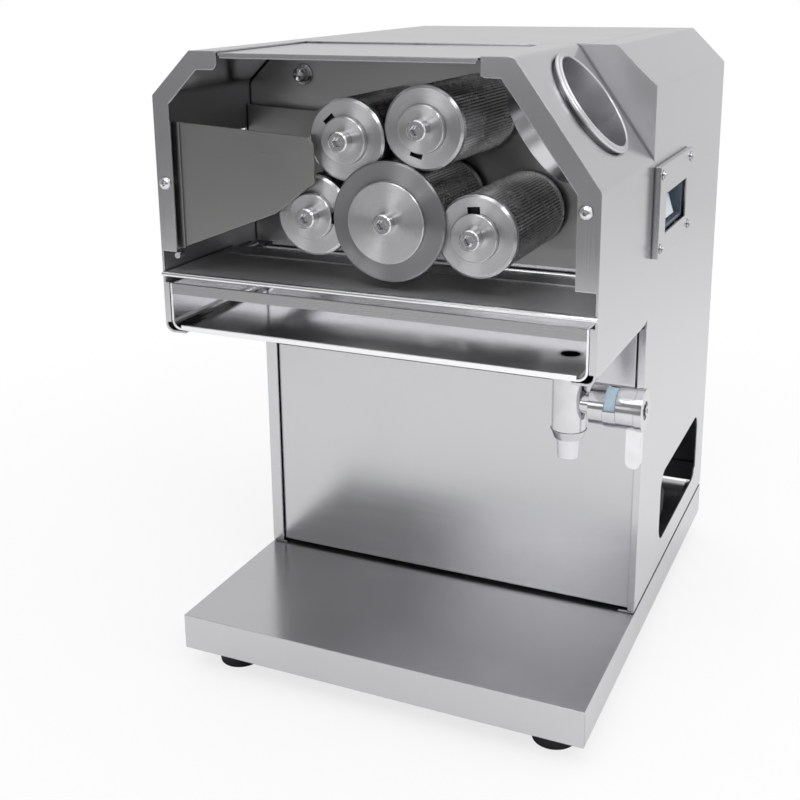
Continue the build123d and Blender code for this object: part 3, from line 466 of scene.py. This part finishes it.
def axis_of(node):
    # centre of a turned sub-part in X and Z, the depth of its ends and its radius
    low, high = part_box(node)
    return (low.x + high.x) / 2, (low.z + high.z) / 2, low.y, high.y, (high.x - low.x) / 2


def turned_steel(name, centre, hex_code=TURNED, smooth=0.26, dull=0.34):
    # Turned face: fine rings that catch the light in turn. Tool marks are 0.1 mm apart on the real face
    # and are drawn coarser so that they show.
    material, tree, place = new_finish(name)
    arm = add_node(tree, "ShaderNodeVectorMath", {
        0: place, 1: (centre[0], 0, centre[1])}, operation="SUBTRACT")
    spoke = add_node(tree, "ShaderNodeVectorMath", {0: arm.outputs[0], 1: (1, 0, 1)}, operation="MULTIPLY")
    radius = add_node(tree, "ShaderNodeVectorMath", {0: spoke.outputs[0]}, operation="LENGTH")
    ring = add_node(tree, "ShaderNodeCombineXYZ", {"X": radius.outputs["Value"]})
    marks = add_node(tree, "ShaderNodeTexNoise", {
        "Vector": ring.outputs[0], "Scale": 1000 / TURNING_MM, "Detail": 2.0})
    rough = add_node(tree, "ShaderNodeMapRange", {
        "Value": marks.outputs[0], "From Min": 0.3, "From Max": 0.7, "To Min": smooth, "To Max": dull})
    colour = tinted(tree, hex_code, marks.outputs[0], 0.95, 1.03)
    soft_edge = add_node(tree, "ShaderNodeBevel", {"Radius": 0.0005}, samples=4)
    height = add_node(tree, "ShaderNodeBump", {
        "Strength": 0.05, "Distance": 0.00005, "Height": marks.outputs[0], "Normal": soft_edge.outputs[0]})
    steel = add_node(tree, "ShaderNodeBsdfPrincipled", {
        "Base Color": colour, "Metallic": 1.0, "Roughness": rough.outputs[0], "Anisotropic": 0.95,
        "Normal": height.outputs[0], "Tangent": spoke.outputs[0]})
    add_node(tree, "ShaderNodeOutputMaterial", {"Surface": steel.outputs[0]})
    return material


bolt_steel = plain_metal("bright_bolt_steel", "DEDEE1", 0.12, 0.2)
roller_steel = {}
for roller in ROLLERS:
    x, z, *_ = axis_of("shaft_" + roller)
    roller_steel[roller] = turned_steel("turned_stainless_" + roller, (x, z))
    dress(roller_steel[roller], "shaft_" + roller)
    dress(bolt_steel, "end_bolt_" + roller)
    if roller == "main":
        flange_steel = turned_steel("turned_wide_flange", (x, z), "9A9A9C", 0.36, 0.46)


# Roller sleeves: hardened steel tubes slid over the shafts, with about 76 lengthwise grooves that grip
# the cane, a plain collar at each end and a keyway. Painted shade darkens the colour down in the grooves,
# so they look dark between bright crests, and the faces inside the keyways are painted near-black shade.
GROOVES = 76
GROOVE_DEPTH = 0.0011
BARREL_LOWER = 0.0002
COLLAR_FRONT = 0.0048
COLLAR_BACK = 0.004
COLLAR_CHAMFER = 0.0016
FLANGE_THICK = 0.0034
FLANGE_COLLAR = 0.008
SLEEVE_R = 0.026
BORE_R = 0.0151
KEYWAY = (0.008, 0.0034)
KEYWAY_TURN = {"main": None, "upper_left": 132, "upper_right": 254, "lower_left": 357, "lower_right": 95}
GROOVED = "C6C6C4"


def paint_slot_faces(piece, stand, low, high, slot_finish):
    # gives the faces inside a slot, in the slot's own directions, a second material
    piece.data.materials.append(slot_finish)
    inside = stand.inverted()
    for face in piece.data.polygons:
        spot = inside @ face.center
        if all(low[i] - 1e-5 < spot[i] < high[i] + 1e-5 for i in range(3)):
            face.material_index = 1


def groove_tree():
    # Geometry Nodes: a star outline swept along the roller's axis
    tree = bpy.data.node_groups.new("grooved_barrel", "GeometryNodeTree")
    sockets = {}
    for label, kind in (("Grooves", "NodeSocketInt"), ("Crest Radius", "NodeSocketFloat"),
                        ("Root Radius", "NodeSocketFloat"), ("Front End", "NodeSocketVector"),
                        ("Back End", "NodeSocketVector"), ("Finish", "NodeSocketMaterial")):
        sockets[label] = tree.interface.new_socket(label, in_out="INPUT", socket_type=kind).identifier
    tree.interface.new_socket("Geometry", in_out="OUTPUT", socket_type="NodeSocketGeometry")
    given = add_node(tree, "NodeGroupInput").outputs
    outline = add_node(tree, "GeometryNodeCurveStar", {
        "Points": given["Grooves"], "Inner Radius": given["Root Radius"],
        "Outer Radius": given["Crest Radius"]})
    line = add_node(tree, "GeometryNodeCurvePrimitiveLine", {
        "Start": given["Front End"], "End": given["Back End"]})
    barrel = add_node(tree, "GeometryNodeCurveToMesh", {
        "Curve": line.outputs[0], "Profile Curve": outline.outputs[0], "Fill Caps": True})
    real = add_node(tree, "GeometryNodeRealizeInstances", {"Geometry": barrel.outputs[0]})
    flat = add_node(tree, "GeometryNodeSetShadeSmooth", {"Geometry": real.outputs[0], "Shade Smooth": False})
    painted = add_node(tree, "GeometryNodeSetMaterial", {
        "Geometry": flat.outputs[0], "Material": given["Finish"]})
    add_node(tree, "NodeGroupOutput", {0: painted.outputs[0]})
    return tree, sockets


# Painted shade: the short occlusion reach darkens the grooves between the bright crests.
grooved_steel = plain_metal("grooved_steel_painted_groove_shade", GROOVED, 0.22, 0.3, 9.0, 0.0012, 0.03, 0.0001)
# Painted shade: a near-black dull material on the faces inside each keyway.
painted_keyway_shade = moulded("near_black_painted_keyway_shade", "0E0E0F", 1.0, 0.4, 0.6, 0.05)
barrel_tree, barrel_sockets = groove_tree()
for roller in ROLLERS:
    node = "roller_sleeve_" + roller
    body = roller + "_roller"
    x, z, front, back, radius = axis_of(node)
    if roller == "main":
        x, z, *_ = axis_of("shaft_" + roller)
    stand = Matrix.Translation((x, 0, z)) @ Matrix.Rotation(math.radians(-90), 4, "X")
    if roller == "main":
        collar_deep = FLANGE_COLLAR
        outline = [(BORE_R, front), (radius - 0.001, front), (radius, front + 0.001),
                   (radius, front + FLANGE_THICK - 0.0005), (radius - 0.0005, front + FLANGE_THICK),
                   (SLEEVE_R, front + FLANGE_THICK), (SLEEVE_R, front + collar_deep),
                   (BORE_R, front + collar_deep)]
    else:
        collar_deep = COLLAR_FRONT
        outline = [(BORE_R, front), (SLEEVE_R - COLLAR_CHAMFER, front), (SLEEVE_R - 0.0004, front + 0.0012),
                   (SLEEVE_R, front + COLLAR_CHAMFER), (SLEEVE_R, front + collar_deep),
                   (BORE_R, front + collar_deep)]
    collar = lathe("sleeve_collar_" + roller, outline, stand)
    wide, deep = KEYWAY
    turn = stand @ Matrix.Rotation(math.radians(-(KEYWAY_TURN[roller] or 0)), 4, "Z")
    slot_low = (BORE_R - 0.002, -wide / 2, front - 0.001)
    slot_high = (BORE_R + deep, wide / 2, front + COLLAR_FRONT - 0.0004)
    if KEYWAY_TURN[roller] is not None:
        cut(collar, block("keyway", slot_low, slot_high, turn))
    keep(collar, body, flange_steel if roller == "main" else roller_steel[roller])
    if KEYWAY_TURN[roller] is not None:
        paint_slot_faces(collar, turn, (BORE_R + 0.0002, slot_low[1], front + 0.0002), slot_high, painted_keyway_shade)
    tail = lathe("sleeve_tail_" + roller, [
        (BORE_R, back - COLLAR_BACK), (SLEEVE_R, back - COLLAR_BACK), (SLEEVE_R, back - 0.0005),
        (SLEEVE_R - 0.0005, back), (BORE_R, back)], stand)
    keep(tail, body, roller_steel[roller])
    barrel = bpy.data.objects.new("sleeve_barrel_" + roller, bpy.data.meshes.new("barrel"))
    bpy.context.scene.collection.objects.link(barrel)
    growth = barrel.modifiers.new("grooves", "NODES")
    growth.node_group = barrel_tree
    for label, value in (("Grooves", GROOVES), ("Crest Radius", SLEEVE_R - BARREL_LOWER),
                         ("Root Radius", SLEEVE_R - BARREL_LOWER - GROOVE_DEPTH),
                         ("Front End", (x, front + collar_deep, z)),
                         ("Back End", (x, back - COLLAR_BACK, z)), ("Finish", grooved_steel)):
        growth[barrel_sockets[label]] = value
    plain_copy(barrel)
    keep(barrel, body, nodes=[node])


# Drive: five hobbed steel gears, oiled and grey, a rough cast aluminium gearbox with zinc plated bolts,
# and the finned motor behind it, whose grey enamel has a soft sheen. Nothing of it shows from outside,
# but it is seen when a sheet is taken off.
dress(plain_metal("hobbed_gear_steel", "9A9B9C", 0.28, 0.42), *["gear_" + roller for roller in ROLLERS])
dress(plain_metal("cast_aluminium", "B5B6B8", 0.45, 0.6, 1.5), "gearbox")
dress(zinc_plate, "gearbox_bolts")
dress(moulded("grey_enamel_on_iron", "5D646B", 3.0, 0.35, 0.5, 0.15), "motor")


# Cane inlet: a stainless tube set square to the chamfer, its mouth rolled outwards into a bead
# with a finer ring inside it. The cane keeps its bore satin rather than bright.
BEAD_ROUND = 0.00135
RING_ROUND = 0.0009
RIM_STEPS = 10
inlet_mount = [m for m in frame["record"]["mounts"] if m["name"] == "cane_inlet"][0]
inlet_axis = Vector(inlet_mount["axis"])
inlet_bore = inlet_mount["dims"]["r_mm"] / 1000
inlet_half = inlet_mount["dims"]["length_mm"] / 2000
inlet_wall = 0.0018
inlet_stand = Matrix.Translation(Vector(inlet_mount["pos_m"])) @ Vector((0, 0, 1)).rotation_difference(
    inlet_axis).to_matrix().to_4x4()
tube_outline = [(inlet_bore, -inlet_half), (inlet_bore + inlet_wall, -inlet_half)]
for ring_radius, ring_height, ring_round, ring_from, ring_to in (
        (inlet_bore + inlet_wall + 0.0008, inlet_half - 0.0023, BEAD_ROUND, -120, 100),
        (inlet_bore + RING_ROUND, inlet_half - RING_ROUND, RING_ROUND, 10, 180)):
    for step in range(RIM_STEPS + 1):
        turn = math.radians(ring_from + (ring_to - ring_from) * step / RIM_STEPS)
        tube_outline.append((ring_radius + ring_round * math.cos(turn),
                             ring_height + ring_round * math.sin(turn)))
inlet = lathe("cane_inlet_tube", tube_outline, inlet_stand, 160, 50)
satin_tube = plain_metal("satin_tube_stainless", "D6D6D9", 0.27, 0.31, 20.0, bump=0.02)
keep(inlet, "housing", satin_tube, ["inlet_tube"])


# Dome nut: a bright stainless nut on the back wall, pressed and polished.
# Its crown is a true half ball on a thin round foot.
CROWN_R = 0.0058
FOOT_THICK = 0.0014
STUD_LONG = 0.014
x, z, dome_front, dome_back, dome_r = axis_of("dome_nut")
dome_stand = Matrix.Translation((x, 0, z)) @ Matrix.Rotation(math.radians(-90), 4, "X")
foot_back = dome_back - STUD_LONG
crown = [(CROWN_R * math.sin(math.radians(a)), dome_front + CROWN_R * (1 - math.cos(math.radians(a))))
         for a in range(0, 91, 9)]
dome_outline = crown + [
    (CROWN_R, foot_back - FOOT_THICK), (dome_r - 0.0003, foot_back - FOOT_THICK),
    (dome_r, foot_back - FOOT_THICK + 0.0003), (dome_r, foot_back), (0, foot_back)]
dome = lathe("dome_nut_crown", dome_outline, dome_stand, 64)
keep(dome, "housing", bolt_steel, ["dome_nut"])


# Chute: an open trough of the same sheet in a darker grey, down which the pressed cane slides.
# It hangs on a steel pin beside the left flange.
dress(satin_stainless("darker_grey_satin_stainless", "X", "989897", 0.26, 0.38), "pulp_chute")
dress(bolt_steel, "chute_pin")


# Roller tray: one sheet under the rollers, its colour painted near-white as painted light, its front edge
# closed into a round hem. Two low ribs pressed across it keep the juice from running over its back edge.
HEM_R = 0.0016
HEM_BACK = 0.0035
HEM_STEPS = 8
RIBS = ((0.063, 0.065, 0.0007), (0.0845, 0.086, 0.0009))
SHEET_INSET = 0.002
RIB_INSET = 0.01


def bar_along_x(name, outline, x0, x1):
    # a closed bar between two x values, its outline given as (y, z) points
    shape = bmesh.new()
    ends = [[shape.verts.new((x, y, z)) for y, z in outline] for x in (x0, x1)]
    for k in range(len(outline)):
        n = (k + 1) % len(outline)
        shape.faces.new((ends[0][k], ends[0][n], ends[1][n], ends[1][k]))
    for end in ends:
        shape.faces.new(end)
    bmesh.ops.recalc_face_normals(shape, faces=shape.faces)
    return to_object(name, shape, 35)


tray_low, tray_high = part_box("roller_tray")
tray_top = tray_high.z - RIBS[1][2]
tray_under = tray_top - LID_SHEET
tray_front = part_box("side_panel_left")[0].y
hem_y = tray_low.y + HEM_R
hem_under = tray_top - 2 * HEM_R
hem_turns = [math.radians(90 + 180 * k / HEM_STEPS) for k in range(HEM_STEPS + 1)]
hem = [(hem_y + HEM_R * math.cos(turn), tray_top - HEM_R + HEM_R * math.sin(turn)) for turn in hem_turns]
tray = bar_along_x("tray_hem", hem, tray_low.x, tray_high.x)
tray_sheet = bar_along_x("tray_sheet", [
    (hem_y - 0.0002, tray_top), (hem_y - 0.0002, hem_under), (tray_front + HEM_BACK, hem_under),
    (tray_front + HEM_BACK, tray_under), (tray_high.y, tray_under), (tray_high.y, tray_top)],
    tray_low.x + SHEET_INSET, tray_high.x - SHEET_INSET)
cut(tray, tray_sheet, "UNION")
for rib_from, rib_to, rib_high in RIBS:
    rib = block("tray_rib", (tray_low.x + RIB_INSET, tray_front + rib_from, tray_under + 0.0005),
                (tray_high.x - RIB_INSET, min(tray_front + rib_to, tray_high.y), tray_top + rib_high))
    cut(tray, rib, "UNION")
worn_top = ((tray_low.x, tray_low.y + 2 * HEM_R, tray_top - 0.0004),
            (tray_high.x, tray_high.y + 0.001, tray_top + 0.002))
# Painted light: a near-white copy of the satin steel, brighter than the other sheets, for light in its
# shaded place.
tray_finish = satin_stainless("near_white_tray_painted_light", "X", "F8F8FA", 0.07, 0.13, worn_top)
keep(tray, "tray", tray_finish, ["roller_tray"])


# Juice pan: a shallow folded sheet that slides out like a drawer, with a low lip at the front.
# A narrow duller bar across the top of its front ties the two sides together.
BAR_HIGH = 0.0075
BAR_THICK = 0.0015
# Painted light: the pan's sheet is a near-white copy of the satin steel, brighter than the other sheets, for
# light in its shaded slot.
dress(satin_stainless("near_white_pan_painted_light", "X", "FAFAFC", 0.08, 0.14), "juice_pan")
pan_low, pan_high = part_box("juice_pan")
pan_bar = block("pan_front_bar", (pan_low.x + BAR_THICK, pan_low.y, pan_high.z - BAR_HIGH),
                (pan_high.x - BAR_THICK, pan_low.y + BAR_THICK, pan_high.z))
keep(pan_bar, "pan", satin_stainless("dull_satin_bar", "X", "B2B2B4", 0.2, 0.32))


# Front flange screws: two button head screws with a hexagon socket, bright and rounded.
# They hold the flanges to the frame behind them.
HEAD_R = 0.0043
SHANK_R = 0.0024
SOCKET_R = 0.0015
SOCKET_DEEP = 0.0017
screws_low, screws_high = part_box("bezel_screws")
head_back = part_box("side_panel_left")[0].y
dome_high = head_back - screws_low.y
for side, x, z in (("left", screws_low.x + HEAD_R, screws_low.z + HEAD_R),
                   ("right", screws_high.x - HEAD_R, screws_high.z - HEAD_R)):
    screw_stand = Matrix.Translation((x, 0, z)) @ Matrix.Rotation(math.radians(-90), 4, "X")
    head = [(HEAD_R * math.sin(math.radians(a)), screws_low.y + dome_high * (1 - math.cos(math.radians(a))))
            for a in range(0, 91, 10)]
    screw = lathe("flange_screw_" + side, head + [
        (SHANK_R, head_back), (SHANK_R, screws_high.y), (0, screws_high.y)], screw_stand, 48, 40)
    socket_front = screws_low.y - 0.001
    socket = lathe("socket", [
        (0, socket_front), (SOCKET_R, socket_front), (SOCKET_R, screws_low.y + SOCKET_DEEP),
        (0, screws_low.y + SOCKET_DEEP)], screw_stand, 6)
    cut(screw, socket)
    keep(screw, "housing", bolt_steel, ["bezel_screws"] if side == "right" else [])


# Tap: cast stainless body and lever, polished, with a pale blue nylon ring under the hub. The hub's lower
# half reaches over the ring as a shell. The lever is buffed brighter than the body, and the nozzle is
# turned and slightly duller.
SHELL_WALL = 0.0013
SHELL_OVERLAP = 0.0005
polished = plain_metal("polished_stainless", "D6D6D9", 0.12, 0.17, 8.0, bump=0.03)
dress(polished, "tap_body", "tap_hub", "tap_screw")
dress(plain_metal("buffed_lever_steel", "E9E9EC", 0.12, 0.18, 8.0, bump=0.02), "tap_lever")
dress(plain_metal("turned_tap_steel", "E0E0E4", 0.2, 0.28, 0.6), "tap_nozzle")
dress(moulded("pale_blue_nylon", "B9CFDD", 2.0, 0.3, 0.45, 0.05), "tap_seal_ring")
ring_low, ring_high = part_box("tap_seal_ring")
ring_r = (ring_high.z - ring_low.z) / 2
shell_r = ring_r + 0.0002 + SHELL_WALL
shell_stand = Matrix.Translation((0, (ring_low.y + ring_high.y) / 2, (ring_low.z + ring_high.z) / 2)) @ \
    Matrix.Rotation(math.radians(90), 4, "Y")
shell_from = ring_low.x - SHELL_OVERLAP
shell_to = ring_high.x + SHELL_OVERLAP
shell = lathe("tap_hub_shell", [
    (shell_r - SHELL_WALL, shell_from), (shell_r, shell_from), (shell_r, shell_to),
    (shell_r - SHELL_WALL, shell_to)], shell_stand, 96)
upper_half = block("upper_half", (-0.02, -0.02, ring_low.x - 0.01), (-0.0005, 0.02, ring_high.x + 0.01),
                   shell_stand)
cut(shell, upper_half)
keep(shell, "tap_valve", polished)


# Switch: a folded stainless cover with four screws, a dark moulded well and a pale rocker.
# The rocker is glossy ABS, and the well is slate blue.
dress(sheet_along_y, "switch_cover")
dress(bolt_steel, "cover_screws")
dress(moulded("slate_blue_abs", "5E6976", 1.5, 0.2, 0.3, 0.08), "switch_body")
dress(moulded("pale_grey_abs", "DDE4EC", 2.0, 0.2, 0.3, 0.03), "switch_rocker")
dress(zinc_plate, "switch_pin")


# Electrics: a black moulded mains socket on the back, and a round capacitor held by a black painted
# strap bracket, which shows in the side window. All three are dark with hardly any shine.
dress(moulded("black_nylon", "1B1C1E", 1.5, 0.35, 0.5, 0.1), "power_inlet")
dress(moulded("black_capacitor_shell", "0E0F11", 1.0, 0.55, 0.7, 0.08, 0.2), "run_capacitor")
dress(moulded("black_painted_strap", "0E0F11", 1.5, 0.55, 0.7, 0.08, 0.2), "capacitor_clip")
